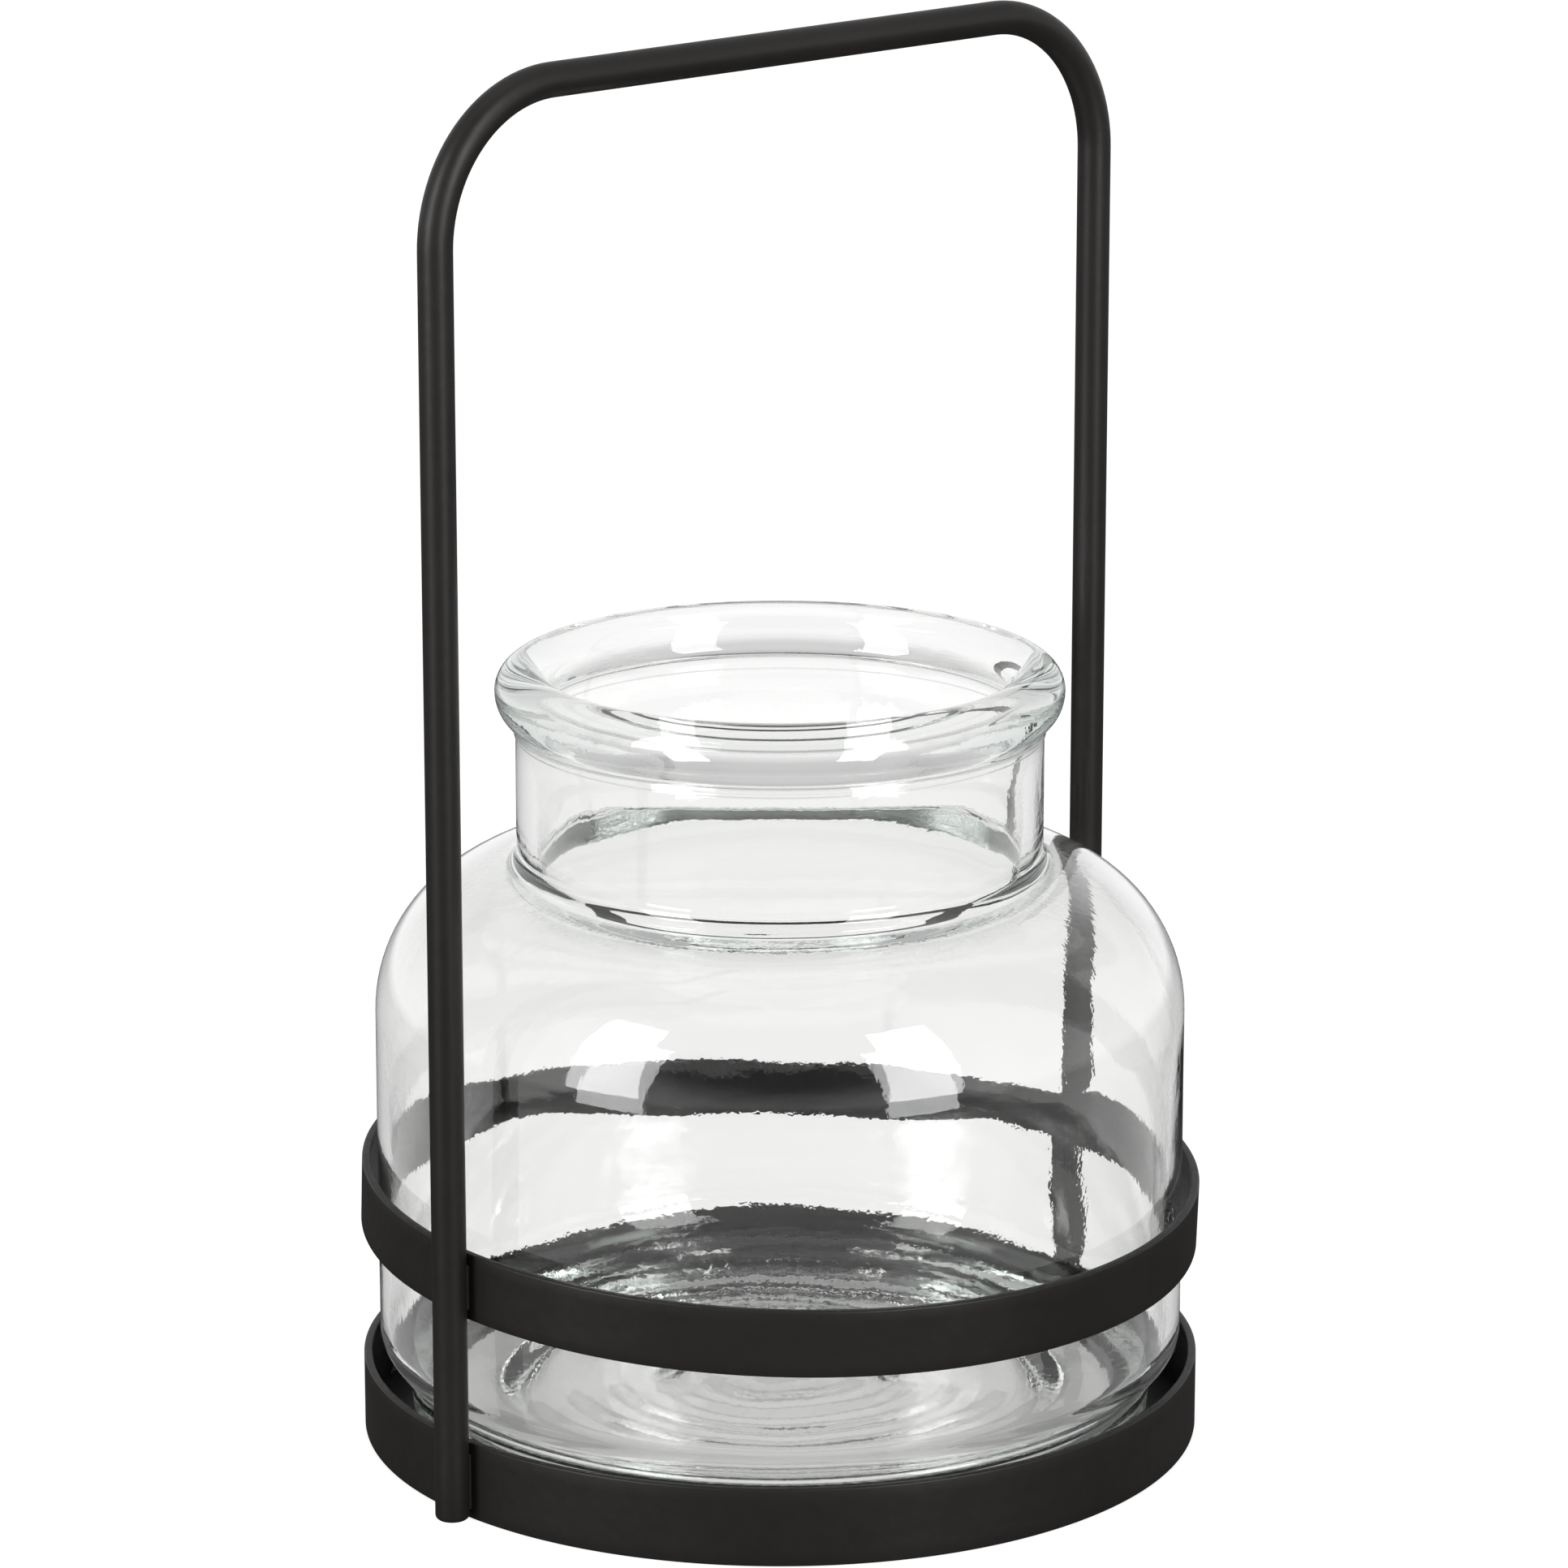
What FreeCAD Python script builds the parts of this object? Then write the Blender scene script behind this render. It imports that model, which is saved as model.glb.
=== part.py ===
"""Hurricane candle lantern: a wide-mouthed glass jar standing in a welded steel holder.

The holder is two flat-strip bands, a bent round-rod handle whose legs run down outside
both bands to the floor, and a flat ring inside the lower band that carries the jar.
Units are millimetres. +Z is up, the origin is on the floor under the centre of the jar,
and the two handle legs stand on the X axis.
"""
import FreeCAD, Part
import math
import os

V = FreeCAD.Vector
ORIGIN = V(0, 0, 0)
UP = V(0, 0, 1)

# ---- driving dimensions: holder -------------------------------------------------------
BAND_OD = 150.0            # outside diameter of both bands
BAND_T = 1.5               # strip thickness
LOWER_BAND_H = 14.0        # strip width of the band that stands on the floor
UPPER_BAND_H = 12.0
UPPER_BAND_Z = 36.5        # lower edge of the upper band, on the leg line
UPPER_BAND_TILT = 2.6      # degrees, turned about the leg line so that its -Y side sits lower
ROD_D = 6.0                # round rod of the handle
HANDLE_AXIS_Z = 248.5      # centre line of the top bar
BEND_R = 26.0              # centre-line radius of the two bends
LEG_FOOT_Z = 0.5           # the legs stop just short of the floor, so the band carries the load
ROD_END_ROUND = 0.9
SEAT_T = 1.5               # flat ring under the jar's foot, level with the band's lower edge
SEAT_IN_R = 61.0

# ---- driving dimensions: weld beads ---------------------------------------------------
LEG_BEAD_R = 0.5           # bead deep in the corner between a leg and a band
LEG_BEAD_OFFSET = 1.25     # bead centre, sideways from the line where leg and band touch
LEG_BEAD_MARGIN = 2.0      # the bead stops this far from each edge of the band
SEAT_BEAD = 1.2            # leg length of the fillets between the flat ring and the band
SEAT_BEAD_W = 10.0
SEAT_BEADS = 6

# ---- driving dimensions: jar (heights are from the jar's own foot) ---------------------
JAR_LIFT_GAP = 0.1         # the foot stands this far off the flat ring
BODY_R = 72.0
WALL = 2.6
FOOT_R = 66.5              # upright side of the foot
FOOT_ROUND = 4.0
HEEL_A, HEEL_B = 26.8, 11.7    # half axes of the rounded heel above the foot, across and up
HEEL_Z = 17.2              # the straight wall starts here
FOOT_RING_IN = 51.5        # inside radius of the ring that the jar stands on
PUSH_UP = 2.5              # height of the hollow inside that ring
PUSH_UP_SLOPE = 6.0        # width of the sloping wall around the hollow
DIMPLE_R = 23.0            # the middle of the underside steps up once more
DIMPLE_SLOPE = 6.0
DIMPLE_RISE = 2.0
BASE_T = 7.0               # inside floor above the foot
CORNER_W, CORNER_H = 10.4, 12.0    # half axes of the rounding between the wall and the floor
BODY_TOP = 75.9            # the cylindrical wall ends here
SHOULDER_R = 27.0
SHOULDER_FILLET = 2.5      # hollow curve between shoulder and neck
NECK_R = 46.6
NECK_IN_R = 43.2
INNER_FILLET = 3.5
INNER_SHOULDER_DROP = 2.0  # the inner shoulder sits this much lower, so the glass thickens upwards
COLLAR_R = 46.9            # slightly raised ring under the rim bead
COLLAR_Z = 125.9
RIM_MID_R, RIM_MID_Z = 45.2, 133.9
RIM_A, RIM_UP, RIM_DOWN = 5.0, 4.9, 6.0    # half axes of the bead: out, up, down
LIP_IN_R = 40.2
LIP_DROP = 4.3             # the narrowest ring of the mouth lies this far under the rim top
LIP_FOOT_Z = 129.5         # the lip meets the straight inside of the neck here

# ---- worked out -----------------------------------------------------------------------
BAND_R = BAND_OD / 2
BAND_IN_R = BAND_R - BAND_T
ROD_R = ROD_D / 2
LEG_X = BAND_R + ROD_R
JAR_Z = SEAT_T + JAR_LIFT_GAP
RIM_TOP = RIM_MID_Z + RIM_UP
MIDDLE_Z = PUSH_UP + DIMPLE_RISE
DIAG = math.sqrt(0.5)


def save(name, shape):
    shape.exportStep(os.path.join("parts", name + ".step"))


def ring(r_out, r_in, z, height):
    """Upright tube of the given radii."""
    outer = Part.makeCylinder(r_out, height, V(0, 0, z))
    return outer.cut(Part.makeCylinder(r_in, height, V(0, 0, z)))


def arc(start, mid, end):
    return Part.Arc(start, mid, end).toShape()


def line(start, end):
    return Part.makeLine(start, end)


# ---- holder ---------------------------------------------------------------------------
def handle_rod():
    """One rod bent into an upside-down U, with its two cut ends near the floor."""
    turn_x = LEG_X - BEND_R
    turn_z = HANDLE_AXIS_Z - BEND_R
    bend = BEND_R * DIAG
    path = Part.Wire([
        line(V(-LEG_X, 0, LEG_FOOT_Z), V(-LEG_X, 0, turn_z)),
        arc(V(-LEG_X, 0, turn_z), V(-turn_x - bend, 0, turn_z + bend), V(-turn_x, 0, HANDLE_AXIS_Z)),
        line(V(-turn_x, 0, HANDLE_AXIS_Z), V(turn_x, 0, HANDLE_AXIS_Z)),
        arc(V(turn_x, 0, HANDLE_AXIS_Z), V(turn_x + bend, 0, turn_z + bend), V(LEG_X, 0, turn_z)),
        line(V(LEG_X, 0, turn_z), V(LEG_X, 0, LEG_FOOT_Z)),
    ])
    section = Part.Wire(Part.makeCircle(ROD_R, V(-LEG_X, 0, LEG_FOOT_Z), UP))
    rod = path.makePipeShell([section], True, False)
    ends = [edge for edge in rod.Edges
            if abs(edge.BoundBox.ZMax - LEG_FOOT_Z) < 1e-6 and abs(edge.BoundBox.ZMin - LEG_FOOT_Z) < 1e-6]
    return rod.makeFillet(ROD_END_ROUND, ends)


def lower_band():
    return ring(BAND_R, BAND_IN_R, 0, LOWER_BAND_H)


def upper_band():
    """Turned a little about the leg line, where it is welded."""
    band = ring(BAND_R, BAND_IN_R, -UPPER_BAND_H / 2, UPPER_BAND_H)
    band.rotate(ORIGIN, V(1, 0, 0), UPPER_BAND_TILT)
    band.translate(V(0, 0, UPPER_BAND_Z + UPPER_BAND_H / 2))
    return band


def seat_ring():
    return ring(BAND_IN_R, SEAT_IN_R, 0, SEAT_T)


# ---- weld beads -----------------------------------------------------------------------
def leg_welds(rod, bands):
    """A bead on both sides of each leg, at both bands."""
    metal = rod.fuse(bands)
    heights = ((0, LOWER_BAND_H), (UPPER_BAND_Z, UPPER_BAND_H))
    beads = []
    for leg in (-1, 1):
        for side in (-1, 1):
            for z, height in heights:
                foot = V(leg * (BAND_R + LEG_BEAD_R / 2), side * LEG_BEAD_OFFSET, z + LEG_BEAD_MARGIN)
                bead = Part.makeCylinder(LEG_BEAD_R, height - 2 * LEG_BEAD_MARGIN, foot)
                beads += bead.cut(metal).Solids
    return Part.makeCompound(beads)


def seat_welds():
    """Short fillets on top of the flat ring, in its corner with the lower band."""
    corner = Part.makePolygon([
        V(BAND_IN_R, 0, SEAT_T), V(BAND_IN_R - SEAT_BEAD, 0, SEAT_T),
        V(BAND_IN_R, 0, SEAT_T + SEAT_BEAD), V(BAND_IN_R, 0, SEAT_T),
    ])
    fillet_ring = Part.Face(corner).revolve(ORIGIN, UP, 360)
    beads = []
    for i in range(SEAT_BEADS):
        cutter = Part.makeBox(BAND_R, SEAT_BEAD_W, LOWER_BAND_H, V(0, -SEAT_BEAD_W / 2, 0))
        cutter.rotate(ORIGIN, UP, 360 * i / SEAT_BEADS)
        beads += fillet_ring.common(cutter).Solids
    return Part.makeCompound(beads)


# ---- jar ------------------------------------------------------------------------------
def ellipse_arc(centre_r, centre_z, half_r, half_z, start_deg, end_deg):
    """Part of an upright ellipse in the XZ plane, from one angle to another."""
    steps = 12
    points = []
    for i in range(steps + 1):
        a = math.radians(start_deg + (end_deg - start_deg) * i / steps)
        points.append(V(centre_r + half_r * math.cos(a), 0, centre_z + half_z * math.sin(a)))
    curve = Part.BSplineCurve()
    curve.interpolate(points)
    return curve.toShape(), points[0], points[-1]


def bezier(*poles):
    """Curve in the XZ plane, drawn by its poles (r, z)."""
    curve = Part.BezierCurve()
    curve.setPoles([V(r, 0, z) for r, z in poles])
    return curve.toShape()


def on_circle(mid, radius, angle):
    return mid + V(math.cos(angle), 0, math.sin(angle)) * radius


def shoulder(start_z, radius, fillet, neck_r):
    """Arcs from the top of the wall over the shoulder and its hollow fillet to the neck's foot."""
    mid = V(BODY_R - SHOULDER_R, 0, start_z)
    across = neck_r + fillet - mid.x
    rise = math.sqrt((radius + fillet) ** 2 - across ** 2)
    angle = math.atan2(rise, across)
    fillet_mid = V(neck_r + fillet, 0, start_z + rise)
    join, foot = on_circle(mid, radius, angle), V(neck_r, 0, start_z + rise)
    over = arc(on_circle(mid, radius, 0), on_circle(mid, radius, angle / 2), join)
    hollow = arc(join, on_circle(fillet_mid, fillet, math.pi + angle / 2), foot)
    return [over, hollow], foot


def jar_outside():
    """Edges from the middle of the underside out, up and over to the top of the rim."""
    hollow_r, dimple_r = FOOT_RING_IN - PUSH_UP_SLOPE, DIMPLE_R - DIMPLE_SLOPE
    turn = math.degrees(math.acos(1 - (BODY_R - FOOT_R) / HEEL_A))
    heel, heel_low, heel_top = ellipse_arc(BODY_R - HEEL_A, HEEL_Z, HEEL_A, HEEL_B, -turn, 0)
    foot_flat = FOOT_R - FOOT_ROUND
    foot_turn = V(foot_flat + FOOT_ROUND * DIAG, 0, FOOT_ROUND - FOOT_ROUND * DIAG)
    edges = [
        line(V(0, 0, MIDDLE_Z), V(dimple_r, 0, MIDDLE_Z)),
        line(V(dimple_r, 0, MIDDLE_Z), V(DIMPLE_R, 0, PUSH_UP)),
        line(V(DIMPLE_R, 0, PUSH_UP), V(hollow_r, 0, PUSH_UP)),
        line(V(hollow_r, 0, PUSH_UP), V(FOOT_RING_IN, 0, 0)),
        line(V(FOOT_RING_IN, 0, 0), V(foot_flat, 0, 0)),
        arc(V(foot_flat, 0, 0), foot_turn, V(FOOT_R, 0, FOOT_ROUND)),
        line(V(FOOT_R, 0, FOOT_ROUND), heel_low),
        heel,
        line(heel_top, V(BODY_R, 0, BODY_TOP)),
    ]
    over, neck_foot = shoulder(BODY_TOP, SHOULDER_R, SHOULDER_FILLET, NECK_R)
    # The rim bead starts where its lower half reaches the collar.
    start = -math.degrees(math.acos((COLLAR_R - RIM_MID_R) / RIM_A))
    low, low_start, low_end = ellipse_arc(RIM_MID_R, RIM_MID_Z, RIM_A, RIM_DOWN, start, 0)
    high, _, _ = ellipse_arc(RIM_MID_R, RIM_MID_Z, RIM_A, RIM_UP, 0, 90)
    return edges + over + [
        line(neck_foot, V(NECK_R, 0, COLLAR_Z)),
        line(V(NECK_R, 0, COLLAR_Z), V(COLLAR_R, 0, COLLAR_Z + COLLAR_R - NECK_R)),
        line(V(COLLAR_R, 0, COLLAR_Z + COLLAR_R - NECK_R), low_start),
        low,
        high,
    ]


def jar_inside():
    """Edges from the top of the rim down the inside to the middle of the floor."""
    in_r, narrow = BODY_R - WALL, RIM_TOP - LIP_DROP
    wall_top = BODY_TOP - INNER_SHOULDER_DROP
    over, neck_foot = shoulder(wall_top, SHOULDER_R - WALL, INNER_FILLET, NECK_IN_R)
    heel, heel_top, heel_low = ellipse_arc(
        in_r - CORNER_W, BASE_T + CORNER_H, CORNER_W, CORNER_H, 0, -90)
    return [
        bezier((RIM_MID_R, RIM_TOP), (LIP_IN_R + 2.3, RIM_TOP),
               (LIP_IN_R, narrow + 2.2), (LIP_IN_R, narrow)),
        bezier((LIP_IN_R, narrow), (LIP_IN_R, narrow - 2),
               (NECK_IN_R, LIP_FOOT_Z + 2), (NECK_IN_R, LIP_FOOT_Z)),
        line(V(NECK_IN_R, 0, LIP_FOOT_Z), neck_foot),
        *reversed(over),
        line(V(in_r, 0, wall_top), heel_top),
        heel,
        line(heel_low, V(0, 0, BASE_T)),
    ]


def glass_jar():
    edges = jar_outside() + jar_inside()
    edges.append(line(V(0, 0, BASE_T), V(0, 0, MIDDLE_Z)))
    outline = Part.Wire(edges)
    jar = Part.Face(outline).revolve(ORIGIN, UP, 360)
    jar.translate(V(0, 0, JAR_Z))
    return jar


def main():
    os.makedirs("parts", exist_ok=True)
    rod, low, high = handle_rod(), lower_band(), upper_band()
    save("handle_rod", rod)
    save("lower_band", low)
    save("upper_band", high)
    save("seat_ring", seat_ring())
    save("leg_welds", leg_welds(rod, [low, high]))
    save("seat_welds", seat_welds())
    save("glass_jar", glass_jar())


main()
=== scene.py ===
import math

import bpy
from mathutils import Matrix, Vector, noise


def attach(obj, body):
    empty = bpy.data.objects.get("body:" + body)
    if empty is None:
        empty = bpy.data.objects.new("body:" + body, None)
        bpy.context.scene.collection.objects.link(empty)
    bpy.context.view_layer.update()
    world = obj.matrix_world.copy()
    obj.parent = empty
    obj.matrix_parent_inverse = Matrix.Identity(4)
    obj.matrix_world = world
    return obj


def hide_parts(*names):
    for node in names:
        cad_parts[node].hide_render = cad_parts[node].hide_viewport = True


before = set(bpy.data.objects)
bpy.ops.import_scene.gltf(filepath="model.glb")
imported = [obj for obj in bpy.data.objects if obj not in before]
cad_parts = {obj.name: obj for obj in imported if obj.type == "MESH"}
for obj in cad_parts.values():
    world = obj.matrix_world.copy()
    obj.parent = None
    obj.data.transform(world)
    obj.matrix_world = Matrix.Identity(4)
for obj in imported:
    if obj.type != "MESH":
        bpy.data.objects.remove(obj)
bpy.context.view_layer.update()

MM = 0.001

# ---- holder ---------------------------------------------------------------------------
BAND_R = 75.0
BAND_T = 1.5               # strip thickness
BAND_EDGE = 0.35           # rounding of the strip's edges
BAND_SEGMENTS = 288
LOWER_BAND_H = 14.0
UPPER_BAND_H = 12.0
UPPER_BAND_Z = 36.5        # lower edge of the upper band, on the leg line
UPPER_BAND_TILT = 2.6      # degrees, about the line between the legs
ROD_R = 3.0
LEG_X = BAND_R + ROD_R
LEG_FOOT_Z = 0.5
ROD_END_ROUND = 0.9
ROD_SEGMENTS = 48
HANDLE_AXIS_Z = 248.5      # centre line of the top bar
BEND_R = 26.0              # centre-line radius of the two bends
SEAT_T = 1.5               # flat ring under the jar's foot
SEAT_BEADS = 6             # short weld beads between the seat ring and the lower band
SEAT_BEAD_R = 0.9
SEAT_BEAD_W = 9.6
SEAT_BEAD_END = 0.25       # share of its size that a bead keeps at its ends
SEAT_BEAD_RIPPLE = 0.07    # share of its size that the ripples take
SEAT_BEAD_RIPPLES = 24     # radians of ripple from the middle of a bead to its end

# ---- jar, heights from its own foot ---------------------------------------------------
JAR_Z = 1.6                # the foot stands just off the flat ring
BODY_R = 72.0
WALL = 2.6
HEEL_A, HEEL_B = 26.8, 11.7   # half axes of the rounded heel, across and up
HEEL_Z = 17.2              # the straight wall starts here
FOOT_R = 66.5              # upright side of the foot
FOOT_ROUND = 4.0
FOOT_RING_IN = 51.5        # inside radius of the ring that the jar stands on
PUSH_UP = 2.5              # height of the hollow inside that ring
PUSH_UP_SLOPE = 6.0
DIMPLE_R = 23.0            # the middle of the underside steps up once more
DIMPLE_SLOPE = 6.0
DIMPLE_RISE = 2.0
STEP_EASE = 2.0            # softness of the steps in the underside
STEP_LATE = 1.0            # a step runs out this far past its slope
BASE_T = 7.0               # inside floor above the foot
CORNER_W, CORNER_H = 10.4, 12.0   # rounding between the wall and the floor
BODY_TOP = 75.9            # the cylindrical wall ends here
SHOULDER_R = 27.0
SHOULDER_FILLET = 2.5      # hollow curve between shoulder and neck
NECK_R = 46.6
NECK_IN_R = 43.2
INNER_FILLET = 3.5
INNER_SHOULDER_DROP = 2.0  # the inner shoulder sits this much lower, so the glass thickens upwards
COLLAR_R = 46.9            # slightly raised ring under the rim bead
COLLAR_Z = 125.9
COLLAR_EASE = 0.3          # half the height over which the collar swells out
RIM_MID_R, RIM_MID_Z = 45.2, 133.9
RIM_A, RIM_UP, RIM_DOWN = 5.0, 4.9, 6.0   # half axes of the rim bead: out, up and down
LIP_IN_R = 40.2
LIP_DROP = 4.3             # the narrowest ring of the mouth lies this far under the rim top
LIP_ROUND_R, LIP_ROUND_Z = 2.3, 2.2       # roundness of the lip above that ring, across and up
LIP_EASE = 2.0             # softness of its run into the neck below
LIP_FOOT_Z = 129.5         # the lip meets the straight inside of the neck here
KNURL_COUNT = 118          # small bars pressed into the rounding of the foot
KNURL_H = 0.3
KNURL_FROM = 25            # degrees round the rounding at which the bars start
JAR_SEGMENTS = 708         # six to each knurl bar
WAVE_RISE = 0.02           # unevenness changes this much to each millimetre upwards
OUTER_SWELL = 0.05         # unevenness of the outside
INNER_SWELL = 0.30         # slow unevenness of the inside
INNER_RIPPLE = 0.05        # quicker unevenness of the inside
FLOOR_FROM = 0.7           # share of the corner's width past which the inside counts as floor
FLOOR_SWELL = 0.5          # share of the inside's unevenness that the floor has
RING_H = 0.18              # faint rings in the floor
RING_TURN = 0.7            # radians of ring to each millimetre outwards
RING_BEND = 1.2            # radians by which the rings wander
RING_OUT, RING_FADE = 58, 10   # the rings die out at this radius, over this width
CALM_R = 20                # all unevenness fades towards the axis inside this radius

# ---- camera ---------------------------------------------------------------------------
CAMERA_AZIMUTH = -43.34
CAMERA_ELEVATION = 16.70
CAMERA_DISTANCE = 1156.3   # from a point on the axis 80 mm above the floor
CAMERA_PIVOT_Z = 80.0
CAMERA_AIM_Z = 117.9
CAMERA_AIM_SIDE = 0.72     # the aim lies this far to the right of the axis
CAMERA_LENS = 148.97       # on a 36 mm sensor

# ---- studio, in metres, watts and degrees ---------------------------------------------
FLOOR_SIZE = 12.0
FLOOR_SHADE_R = 0.08       # the floor's painted shade under the lantern runs from the axis out to this radius
# painted shade: these tones turn down the floor's glow under the lantern, darkest in one ring, in place
# of the lantern's shadow
FLOOR_PAINTED_SHADE_TONES = ((0.0, 0.60), (0.45, 0.66), (0.68, 0.40), (0.88, 0.50), (0.95, 0.96))
PANEL_LEFT, PANEL_RIGHT = CAMERA_AZIMUTH - 49, CAMERA_AZIMUTH + 40
PANEL_DISTANCE = 1.6
PANEL_TOP = 1.7            # both panels stand on the floor
PANEL_WIDTH = 0.6
PANEL_POWER = 30
OVERHEAD_SIZE = 1.6
OVERHEAD_Z = 2.2
OVERHEAD_POWER = 4
ROOM_TONES = ((0.0, 0.03), (0.43, 0.04), (0.47, 1.0), (0.53, 1.0), (0.65, 0.75), (0.85, 0.6), (1.0, 0.5))
DIM_PATCH_RISE = 0.84      # slope at which the dim patch of the room is seen from the lantern
DIM_PATCH_OUT, DIM_PATCH_IN = 0.7, 0.88   # cosines of the angles at which it starts and is full
DIM_PATCH_LIGHT = 0.15


# ---- small helpers --------------------------------------------------------------------
def arc(centre_r, centre_z, half_r, half_z, start, end, steps):
    """Points (r, z) along part of an ellipse, angles in degrees."""
    points = []
    for i in range(steps + 1):
        a = math.radians(start + (end - start) * i / steps)
        points.append((centre_r + half_r * math.cos(a), centre_z + half_z * math.sin(a)))
    return points


def straight(start, end, steps):
    """Points (r, z) from start to end, both included."""
    return [(start[0] + (end[0] - start[0]) * i / steps, start[1] + (end[1] - start[1]) * i / steps)
            for i in range(steps + 1)]


def bezier(p0, p1, p2, p3, steps):
    """Points (r, z) of a cubic curve from p0 to p3, pulled towards p1 and p2."""
    points = []
    for i in range(steps + 1):
        t = i / steps
        a, b, c, d = (1 - t) ** 3, 3 * t * (1 - t) ** 2, 3 * t * t * (1 - t), t ** 3
        points.append((a * p0[0] + b * p1[0] + c * p2[0] + d * p3[0],
                       a * p0[1] + b * p1[1] + c * p2[1] + d * p3[1]))
    return points


def joined(*stretches):
    """One list of points, without the doubled point where two stretches meet."""
    points = []
    for stretch in stretches:
        for p in stretch:
            if not points or math.dist(points[-1], p) > 1e-4:
                points.append(p)
    return points


def linked(name, data):
    """A new object in the scene that holds the given data."""
    obj = bpy.data.objects.new(name, data)
    bpy.context.scene.collection.objects.link(obj)
    return obj


def new_object(name, vertices, faces, material, body):
    """A smooth mesh piece that moves with one body of the part."""
    mesh = bpy.data.meshes.new(name)
    mesh.from_pydata(vertices, [], faces)
    mesh.validate()
    mesh.update()
    mesh.shade_smooth()
    mesh.materials.append(material)
    obj = linked(name, mesh)
    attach(obj, body)
    return obj


def lathe(profile, segments, closed, shift=None):
    """Vertices and faces of a profile of (r, z) turned about Z. An open profile starts and ends
    on the axis. shift(r, z, angle) may return a changed (r, z)."""
    vertices, rows = [], []
    for r, z in profile:
        if r < 1e-6:
            rows.append([len(vertices)])
            vertices.append((0.0, 0.0, z * MM))
            continue
        row = []
        for k in range(segments):
            a = 2 * math.pi * k / segments
            rr, zz = shift(r, z, a) if shift else (r, z)
            row.append(len(vertices))
            vertices.append((rr * math.cos(a) * MM, rr * math.sin(a) * MM, zz * MM))
        rows.append(row)
    faces = []
    pairs = list(zip(rows, rows[1:]))
    if closed:
        pairs.append((rows[-1], rows[0]))
    for low, high in pairs:
        for k in range(segments):
            n = (k + 1) % segments
            if len(low) == 1:
                faces.append((low[0], high[n], high[k]))
            elif len(high) == 1:
                faces.append((low[k], low[n], high[0]))
            else:
                faces.append((low[k], low[n], high[n], high[k]))
    return vertices, faces


# ---- materials ------------------------------------------------------------------------
def new_material(name):
    """A node material, with its nodes, its links and its main shader."""
    material = bpy.data.materials.new(name)
    material.use_nodes = True
    nodes = material.node_tree.nodes
    return material, nodes, material.node_tree.links, nodes["Principled BSDF"]


def object_noise(nodes, links, scale, detail):
    """Noise in the part's own space; scale is in waves per metre."""
    coords = nodes.new("ShaderNodeTexCoord")
    tex = nodes.new("ShaderNodeTexNoise")
    tex.inputs["Scale"].default_value = scale
    tex.inputs["Detail"].default_value = detail
    links.new(coords.outputs["Object"], tex.inputs["Vector"])
    return tex.outputs["Fac"]


def ramp(nodes, links, source, stops):
    """source, 0 to 1, turned into a colour by stops of (place, colour)."""
    node = nodes.new("ShaderNodeValToRGB")
    elements = node.color_ramp.elements
    elements[0].position, elements[0].color = stops[0]
    elements[1].position, elements[1].color = stops[-1]
    for position, color in stops[1:-1]:
        elements.new(position).color = color
    links.new(source, node.inputs["Fac"])
    return node.outputs["Color"]


def grey_ramp(nodes, links, source, tones):
    """The same with greys, given as (place, tone)."""
    return ramp(nodes, links, source, [(place, (tone, tone, tone, 1)) for place, tone in tones])


def span(nodes, links, source, low, high):
    """source, 0 to 1, stretched to run from low to high."""
    node = nodes.new("ShaderNodeMapRange")
    node.inputs["To Min"].default_value = low
    node.inputs["To Max"].default_value = high
    links.new(source, node.inputs["Value"])
    return node.outputs["Result"]


def bumped(nodes, links, height, strength, distance, below=None):
    """Surface direction with a bump from height, on top of an earlier one if given."""
    node = nodes.new("ShaderNodeBump")
    node.inputs["Strength"].default_value = strength
    node.inputs["Distance"].default_value = distance
    links.new(height, node.inputs["Height"])
    if below is not None:
        links.new(below, node.inputs["Normal"])
    return node.outputs["Normal"]


def powder_coat():
    """Satin black powder coat: orange peel, a fine grain and a slightly uneven tone."""
    material, nodes, links, shader = new_material("black_powder_coat")
    tone = object_noise(nodes, links, scale=35.0, detail=3.0)
    darker, lighter = (0.0067, 0.0059, 0.0055, 1), (0.0094, 0.0081, 0.0074, 1)
    links.new(ramp(nodes, links, tone, [(0.3, darker), (0.7, lighter)]), shader.inputs["Base Color"])
    peel = object_noise(nodes, links, scale=420.0, detail=1.0)
    grain = object_noise(nodes, links, scale=2600.0, detail=2.0)
    links.new(span(nodes, links, peel, low=0.38, high=0.48), shader.inputs["Roughness"])
    waves = bumped(nodes, links, peel, strength=0.2, distance=0.0002)
    rough = bumped(nodes, links, grain, strength=0.25, distance=0.00004, below=waves)
    links.new(rough, shader.inputs["Normal"])
    shader.inputs["Specular IOR Level"].default_value = 0.24
    return material


def clear_glass():
    """Pressed soda-lime glass, faintly green where it is thick, with a slightly rippled skin."""
    material, nodes, links, shader = new_material("clear_glass")
    shader.inputs["Base Color"].default_value = (0.935, 0.936, 0.93, 1)
    shader.inputs["Roughness"].default_value = 0.0
    shader.inputs["IOR"].default_value = 1.5
    shader.inputs["Transmission Weight"].default_value = 1.0
    ripple = object_noise(nodes, links, scale=240.0, detail=2.0)
    pits = object_noise(nodes, links, scale=1300.0, detail=1.0)
    waves = bumped(nodes, links, ripple, strength=0.5, distance=0.00003)
    skin = bumped(nodes, links, pits, strength=0.5, distance=0.000008, below=waves)
    links.new(skin, shader.inputs["Normal"])
    depth = nodes.new("ShaderNodeVolumeAbsorption")
    depth.inputs["Color"].default_value = (0.50, 0.58, 0.54, 1)
    depth.inputs["Density"].default_value = 8.0
    links.new(depth.outputs["Volume"], nodes["Material Output"].inputs["Volume"])
    return material


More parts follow.
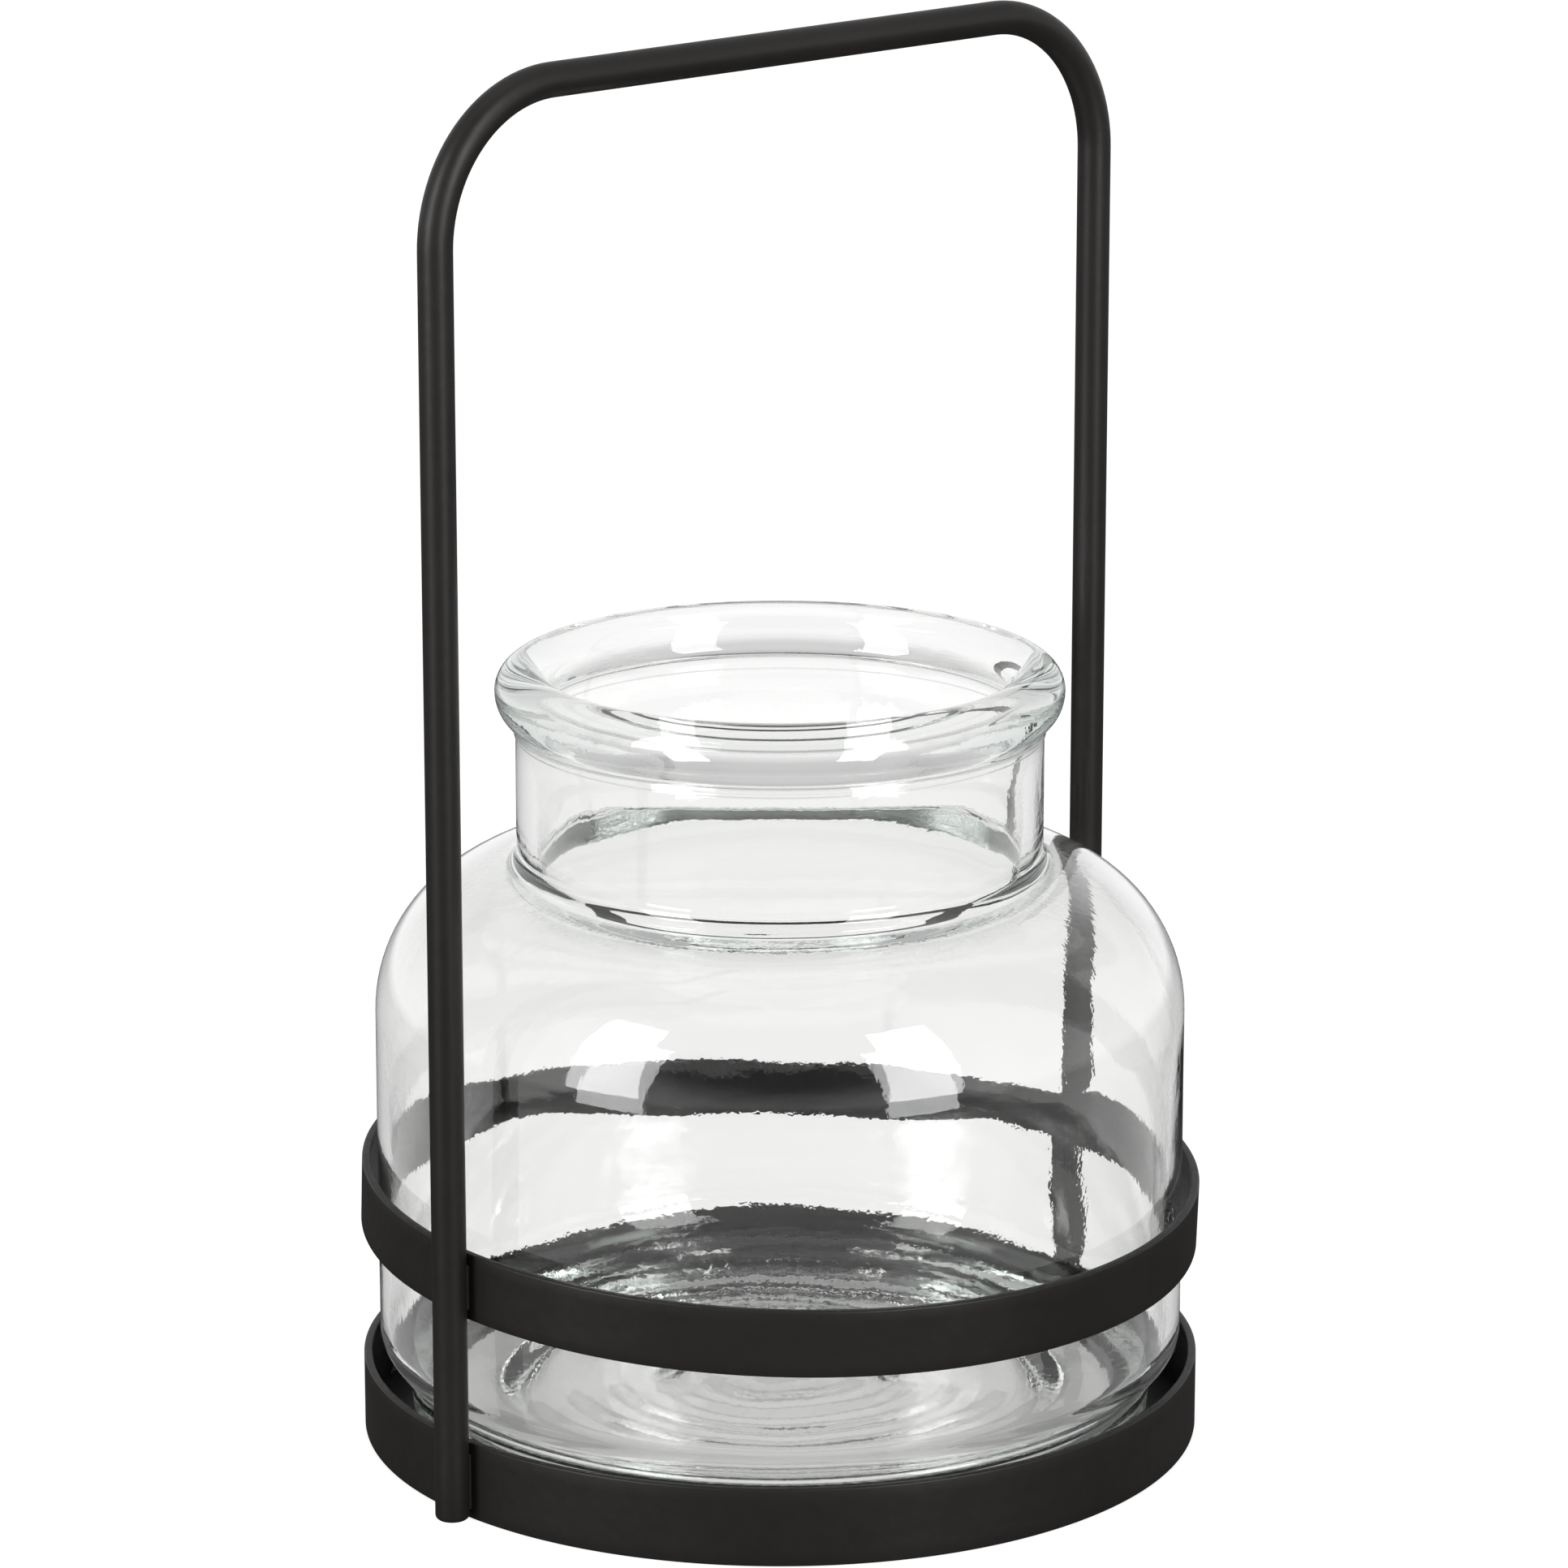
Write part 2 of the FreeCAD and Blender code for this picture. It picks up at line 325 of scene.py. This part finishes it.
# ---- holder pieces --------------------------------------------------------------------
def strip_profile(height):
    """Section of a band: an upright rectangle with rounded edges, as (r, z)."""
    e = BAND_EDGE
    low, high = e, height - e
    inner, outer = BAND_R - BAND_T + e, BAND_R - e
    return joined(arc(outer, low, e, e, -90, 0, 4), straight((BAND_R, low), (BAND_R, high), 6),
                  arc(outer, high, e, e, 0, 90, 4), arc(inner, high, e, e, 90, 180, 4),
                  straight((BAND_R - BAND_T, high), (BAND_R - BAND_T, low), 6),
                  arc(inner, low, e, e, 180, 270, 4))


def band(name, height, place, material):
    """One strip rolled into a ring; place moves it from the floor to where it sits."""
    vertices, faces = lathe(strip_profile(height), BAND_SEGMENTS, True)
    obj = new_object(name + "_strip", [place @ Vector(v) for v in vertices], faces, material, "holder")
    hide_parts(name)


def rod_path():
    """Centre line of the handle rod from one foot over the top to the other."""
    turn_x, turn_z = LEG_X - BEND_R, HANDLE_AXIS_Z - BEND_R
    foot = LEG_FOOT_Z
    return joined(straight((-LEG_X, foot), (-LEG_X, turn_z), 24),
                  arc(-turn_x, turn_z, BEND_R, BEND_R, 180, 90, 28),
                  straight((-turn_x, HANDLE_AXIS_Z), (turn_x, HANDLE_AXIS_Z), 12),
                  arc(turn_x, turn_z, BEND_R, BEND_R, 90, 0, 28),
                  straight((LEG_X, turn_z), (LEG_X, foot), 24))


def handle_rod(material):
    """Round rod swept along its centre line, with rounded ends that are closed flat."""
    path = rod_path()
    rings = []
    for i, (x, z) in enumerate(path):
        before, after = path[max(i - 1, 0)], path[min(i + 1, len(path) - 1)]
        dx, dz = after[0] - before[0], after[1] - before[1]
        length = math.hypot(dx, dz)
        rings.append((x, z, dx / length, dz / length, ROD_R))
    rings = end_rounding(rings[0]) + rings[1:-1] + end_rounding(rings[-1])[::-1]
    around = ROD_SEGMENTS
    vertices = []
    for x, z, tx, tz, r in rings:
        for k in range(around):
            a = 2 * math.pi * k / around
            out, side = r * math.cos(a), r * math.sin(a)
            vertices.append(((x - tz * out) * MM, side * MM, (z + tx * out) * MM))
    faces = []
    for i in range(len(rings) - 1):
        for k in range(around):
            n = (k + 1) % around
            faces.append((i * around + k, (i + 1) * around + k, (i + 1) * around + n, i * around + n))
    faces.append(tuple(range(around)))
    faces.append(tuple(range((len(rings) - 1) * around, len(rings) * around))[::-1])
    obj = new_object("handle_bent_rod", vertices, faces, material, "holder")
    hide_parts("handle_rod")


def end_rounding(ring):
    """Rings that round off a cut end, from the end face inwards. The ends are level."""
    x, z, tx, tz, r = ring
    steps = 6
    rings = []
    for i in range(steps + 1):
        a = math.radians(90 * i / steps)
        rings.append((x, z + ROD_END_ROUND * (1 - math.cos(a)), tx, tz,
                      r - ROD_END_ROUND * (1 - math.sin(a))))
    return rings


def seat_welds(material):
    """Rounded beads in the corner above the seat ring, rippled along and tapered at both ends."""
    inner, rows, around = BAND_R - BAND_T, 48, 10
    half_turn = math.asin(SEAT_BEAD_W / 2 / inner)
    vertices, faces = [], []
    for bead in range(SEAT_BEADS):
        first = len(vertices)
        for i in range(rows + 1):
            along = 2 * i / rows - 1
            taper = SEAT_BEAD_END + (1 - SEAT_BEAD_END) * (1 - along ** 4)
            ripple = 1 - SEAT_BEAD_RIPPLE + SEAT_BEAD_RIPPLE * math.cos(SEAT_BEAD_RIPPLES * along)
            size = SEAT_BEAD_R * taper * ripple
            a = 2 * math.pi * bead / SEAT_BEADS + half_turn * along
            section = [(inner, SEAT_T)] + arc(inner, SEAT_T, -size, size, 0, 90, around - 2)
            vertices += [(r * math.cos(a) * MM, r * math.sin(a) * MM, z * MM) for r, z in section]
        for i in range(rows):
            low, high = first + i * around, first + (i + 1) * around
            for k in range(around):
                n = (k + 1) % around
                faces.append((low + k, low + n, high + n, high + k))
        faces.append(tuple(range(first, first + around))[::-1])
        faces.append(tuple(range(first + rows * around, first + (rows + 1) * around)))
    obj = new_object("seat_weld_beads", vertices, faces, material, "holder")
    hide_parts("seat_welds")


# ---- jar ------------------------------------------------------------------------------
def shoulder_line(start_z, radius, fillet, neck_r):
    """From the top of the wall over the shoulder and the hollow fillet to the foot of the neck."""
    mid_r = BODY_R - SHOULDER_R
    across = neck_r + fillet - mid_r
    rise = math.sqrt((radius + fillet) ** 2 - across ** 2)
    join = math.degrees(math.atan2(rise, across))
    return joined(arc(mid_r, start_z, radius, radius, 0, join, 24),
                  arc(neck_r + fillet, start_z + rise, fillet, fillet, 180 + join, 180, 10))


def underside_step(start_r, start_z, end_r, end_z, early):
    """S-curve between two levels of the underside, starting early by that many millimetres."""
    return bezier((start_r - early, start_z), (start_r + STEP_EASE, start_z),
                  (end_r - STEP_EASE, end_z), (end_r + STEP_LATE, end_z), 10)


def jar_underside(flat):
    """From the middle of the dimple over the hollow to the end of the ring that the jar stands on."""
    middle = PUSH_UP + DIMPLE_RISE
    dimple = underside_step(DIMPLE_R - DIMPLE_SLOPE, middle, DIMPLE_R, PUSH_UP, 1.0)
    hollow = underside_step(FOOT_RING_IN - PUSH_UP_SLOPE, PUSH_UP, FOOT_RING_IN, 0, 1.5)
    return joined(straight((0, middle), dimple[0], 4), dimple, straight(dimple[-1], hollow[0], 8),
                  hollow, straight(hollow[-1], (flat, 0), 3))


def jar_outside():
    """Outline from the middle of the underside out, up and over to the top of the rim."""
    flat = FOOT_R - FOOT_ROUND
    foot = arc(flat, FOOT_ROUND, FOOT_ROUND, FOOT_ROUND, -90, 0, 14)
    turn = math.degrees(math.acos(1 - (BODY_R - FOOT_R) / HEEL_A))
    heel = arc(BODY_R - HEEL_A, HEEL_Z, HEEL_A, HEEL_B, -turn, 0, 22)
    side = straight((FOOT_R, FOOT_ROUND), heel[0], 3)
    wall = straight((BODY_R, HEEL_Z), (BODY_R, BODY_TOP), 14)
    shoulder = shoulder_line(BODY_TOP, SHOULDER_R, SHOULDER_FILLET, NECK_R)
    neck = straight(shoulder[-1], (NECK_R, COLLAR_Z), 5)
    start = -math.degrees(math.acos((COLLAR_R - RIM_MID_R) / RIM_A))
    bead = joined(arc(RIM_MID_R, RIM_MID_Z, RIM_A, RIM_DOWN, start, 0, 10),
                  arc(RIM_MID_R, RIM_MID_Z, RIM_A, RIM_UP, 0, 90, 12))
    collar = bezier((NECK_R, COLLAR_Z), (NECK_R, COLLAR_Z + COLLAR_EASE),
                    (COLLAR_R, COLLAR_Z + COLLAR_EASE), (COLLAR_R, COLLAR_Z + 2 * COLLAR_EASE), 4)
    return joined(jar_underside(flat), foot, side, heel, wall, shoulder, neck, collar, bead)


def jar_inside():
    """Outline from the top of the rim down the inside to the middle of the floor."""
    top = RIM_MID_Z + RIM_UP
    narrow = top - LIP_DROP
    lip = joined(bezier((RIM_MID_R, top), (LIP_IN_R + LIP_ROUND_R, top), (LIP_IN_R, narrow + LIP_ROUND_Z),
                        (LIP_IN_R, narrow), 12),
                 bezier((LIP_IN_R, narrow), (LIP_IN_R, narrow - LIP_EASE),
                        (NECK_IN_R, LIP_FOOT_Z + LIP_EASE), (NECK_IN_R, LIP_FOOT_Z), 6))
    in_r = BODY_R - WALL
    shoulder = shoulder_line(BODY_TOP - INNER_SHOULDER_DROP, SHOULDER_R - WALL, INNER_FILLET,
                             NECK_IN_R)
    return joined(lip, straight((NECK_IN_R, LIP_FOOT_Z), shoulder[-1], 8), shoulder[::-1],
                  straight(shoulder[0], (in_r, BASE_T + CORNER_H), 14),
                  arc(in_r - CORNER_W, BASE_T + CORNER_H, CORNER_W, CORNER_H, 0, -90, 16),
                  straight((in_r - CORNER_W, BASE_T), (0, BASE_T), 90))


def glass_waves(z, angle, seed, waves):
    """Slow unevenness left by pressing, from -1 to 1, the same on every run."""
    upwards = z * WAVE_RISE * waves + seed
    return noise.noise(Vector((math.cos(angle) * waves, math.sin(angle) * waves, upwards)))


def outer_shift(r, z, angle):
    """The knurl bars on the rounding of the foot, and a slight unevenness elsewhere."""
    if z < FOOT_ROUND and r > FOOT_R - FOOT_ROUND:
        turn = math.atan2(FOOT_ROUND - z, r - FOOT_R + FOOT_ROUND)
        if turn > math.radians(KNURL_FROM):
            across = (math.degrees(turn) - KNURL_FROM) / (90 - KNURL_FROM)
            round_bar = max(0.0, math.cos(KNURL_COUNT * angle))
            bar = KNURL_H * math.sin(math.pi * across) ** 0.5 * round_bar ** 0.5
            return r + bar * math.cos(turn), max(0.0, z - bar * math.sin(turn))
    return r + OUTER_SWELL * glass_waves(z, angle, seed=3.0, waves=2.0), z


def inner_shift(r, z, angle):
    """Unevenness of the inside: sideways on the wall, up and down with faint rings on the floor."""
    swell = (INNER_SWELL * glass_waves(z, angle, seed=11.0, waves=1.6)
             + INNER_RIPPLE * glass_waves(z, angle, seed=5.0, waves=6.0))
    calm = min(1.0, r / CALM_R)
    if r < BODY_R - WALL - CORNER_W * FLOOR_FROM and z < BASE_T + CORNER_H:
        rings = math.sin(r * RING_TURN + RING_BEND * glass_waves(z, angle, seed=7.0, waves=1.2))
        rings *= max(0.0, min(1.0, (RING_OUT - r) / RING_FADE))
        return r, z + (FLOOR_SWELL * swell + RING_H * rings) * calm
    return r + swell * calm, z


def glass_jar(material):
    """The whole jar as one closed skin: outline up the outside and down the inside, turned."""
    outside, inside = jar_outside(), jar_inside()
    turn = len(outside)
    profile = outside + inside[1:]
    row = {point: i for i, point in enumerate(profile)}

    def shift(r, z, angle):
        return outer_shift(r, z, angle) if row[(r, z)] < turn else inner_shift(r, z, angle)

    vertices, faces = lathe(profile, JAR_SEGMENTS, False, shift)
    lift = JAR_Z * MM
    obj = new_object("jar_glass", [(x, y, z + lift) for x, y, z in vertices], faces, material, "jar")
    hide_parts("glass_jar")


# ---- stage ----------------------------------------------------------------------------
def floor():
    """White floor that glows by itself, with painted shade in rings under the lantern, and out of sight
    in mirror-like reflections.
    """
    far = FLOOR_SIZE
    mesh = bpy.data.meshes.new("floor")
    mesh.from_pydata([(-far, -far, 0), (far, -far, 0), (far, far, 0), (-far, far, 0)], [],
                     [(0, 1, 2, 3)])
    material, nodes, links, shader = new_material("floor_white")
    shader.inputs["Base Color"].default_value = (0.12, 0.12, 0.12, 1)
    shader.inputs["Roughness"].default_value = 0.9
    shader.inputs["Specular IOR Level"].default_value = 0.1
    distance = nodes.new("ShaderNodeVectorMath")
    distance.operation = "LENGTH"
    coords = nodes.new("ShaderNodeTexCoord")
    links.new(coords.outputs["Object"], distance.inputs[0])
    outwards = nodes.new("ShaderNodeMapRange")
    outwards.inputs["From Max"].default_value = FLOOR_SHADE_R
    links.new(distance.outputs["Value"], outwards.inputs["Value"])
    # painted shade under the lantern, set into the floor's glow by distance from the axis
    shade = grey_ramp(nodes, links, outwards.outputs["Result"], FLOOR_PAINTED_SHADE_TONES)
    links.new(shade, shader.inputs["Emission Color"])
    shader.inputs["Emission Strength"].default_value = 1.0
    mesh.materials.append(material)
    obj = linked("floor", mesh)
    obj.visible_glossy = False


def softbox(name, azimuth):
    """An upright strip of light facing the lantern, azimuth counted like the camera's."""
    data = bpy.data.lights.new(name, "AREA")
    data.shape = "RECTANGLE"
    data.size, data.size_y = PANEL_WIDTH, PANEL_TOP
    data.energy = PANEL_POWER
    obj = linked(name, data)
    a = math.radians(azimuth)
    obj.location = (PANEL_DISTANCE * math.sin(a), -PANEL_DISTANCE * math.cos(a), PANEL_TOP / 2)
    aim = Vector((0, 0, PANEL_TOP / 2)) - obj.location
    obj.rotation_euler = aim.to_track_quat("-Z", "Y").to_euler()
    obj.visible_camera = False


def overhead():
    """A weak round light straight above."""
    data = bpy.data.lights.new("overhead", "AREA")
    data.shape = "DISK"
    data.size = OVERHEAD_SIZE
    data.energy = OVERHEAD_POWER
    obj = linked("overhead", data)
    obj.location = (0, 0, OVERHEAD_Z)
    obj.visible_camera = False


def surroundings():
    """A pale room: dark below eye level, bright at it and greyer overhead, with one dim patch high
    up between the two light panels."""
    world = bpy.data.worlds.new("studio")
    bpy.context.scene.world = world
    world.use_nodes = True
    nodes, links = world.node_tree.nodes, world.node_tree.links
    background = nodes["Background"]
    coords = nodes.new("ShaderNodeTexCoord")
    split = nodes.new("ShaderNodeSeparateXYZ")
    links.new(coords.outputs["Generated"], split.inputs["Vector"])
    height = nodes.new("ShaderNodeMapRange")
    height.inputs["From Min"].default_value = -1.0
    links.new(split.outputs["Z"], height.inputs["Value"])
    shade = grey_ramp(nodes, links, height.outputs["Result"], ROOM_TONES)
    links.new(shade, background.inputs["Color"])
    facing = nodes.new("ShaderNodeVectorMath")
    facing.operation = "DOT_PRODUCT"
    azimuth = math.radians(CAMERA_AZIMUTH)
    patch = Vector((math.sin(azimuth), -math.cos(azimuth), DIM_PATCH_RISE)).normalized()
    facing.inputs[1].default_value = patch
    links.new(coords.outputs["Generated"], facing.inputs[0])
    side = nodes.new("ShaderNodeMapRange")
    side.interpolation_type = "SMOOTHSTEP"
    side.inputs["From Min"].default_value = DIM_PATCH_OUT
    side.inputs["From Max"].default_value = DIM_PATCH_IN
    side.inputs["To Min"].default_value = 1.0
    side.inputs["To Max"].default_value = DIM_PATCH_LIGHT
    links.new(facing.outputs["Value"], side.inputs["Value"])
    links.new(side.outputs["Result"], background.inputs["Strength"])


def camera():
    """A long lens, looking slightly down at the lantern."""
    azimuth, elevation = math.radians(CAMERA_AZIMUTH), math.radians(CAMERA_ELEVATION)
    back = Vector((math.sin(azimuth) * math.cos(elevation), -math.cos(azimuth) * math.cos(elevation),
                   math.sin(elevation)))
    right = Vector((math.cos(azimuth), math.sin(azimuth), 0))
    data = bpy.data.cameras.new("camera")
    data.lens = CAMERA_LENS
    obj = linked("camera", data)
    obj.location = Vector((0, 0, CAMERA_PIVOT_Z * MM)) + back * CAMERA_DISTANCE * MM
    aim = Vector((0, 0, CAMERA_AIM_Z * MM)) + right * CAMERA_AIM_SIDE * MM
    obj.rotation_euler = (aim - obj.location).to_track_quat("-Z", "Y").to_euler()
    bpy.context.scene.camera = obj


def light_paths():
    """Thick glass passes light on many times between its faces before it gets out."""
    paths = bpy.context.scene.cycles
    paths.max_bounces = 32
    paths.glossy_bounces = 24
    paths.transmission_bounces = 24


def upper_band_place():
    """Up to the upper band's height and tipped about the line between the legs."""
    middle = UPPER_BAND_H / 2
    lift = Matrix.Translation((0, 0, (UPPER_BAND_Z + middle) * MM))
    tip = Matrix.Rotation(math.radians(UPPER_BAND_TILT), 4, "X")
    return lift @ tip @ Matrix.Translation((0, 0, -middle * MM))


def main():
    """The lantern, then the studio around it."""
    black = powder_coat()
    glass = clear_glass()
    band("lower_band", LOWER_BAND_H, Matrix.Identity(4), black)
    band("upper_band", UPPER_BAND_H, upper_band_place(), black)
    handle_rod(black)
    seat_welds(black)
    for node in ("seat_ring", "leg_welds"):
        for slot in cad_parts[node].material_slots:
            slot.material = black
    glass_jar(glass)
    camera()
    floor()
    softbox("softbox_left", PANEL_LEFT)
    softbox("softbox_right", PANEL_RIGHT)
    overhead()
    surroundings()
    bpy.context.scene.view_settings.view_transform = "Standard"
    light_paths()


main()
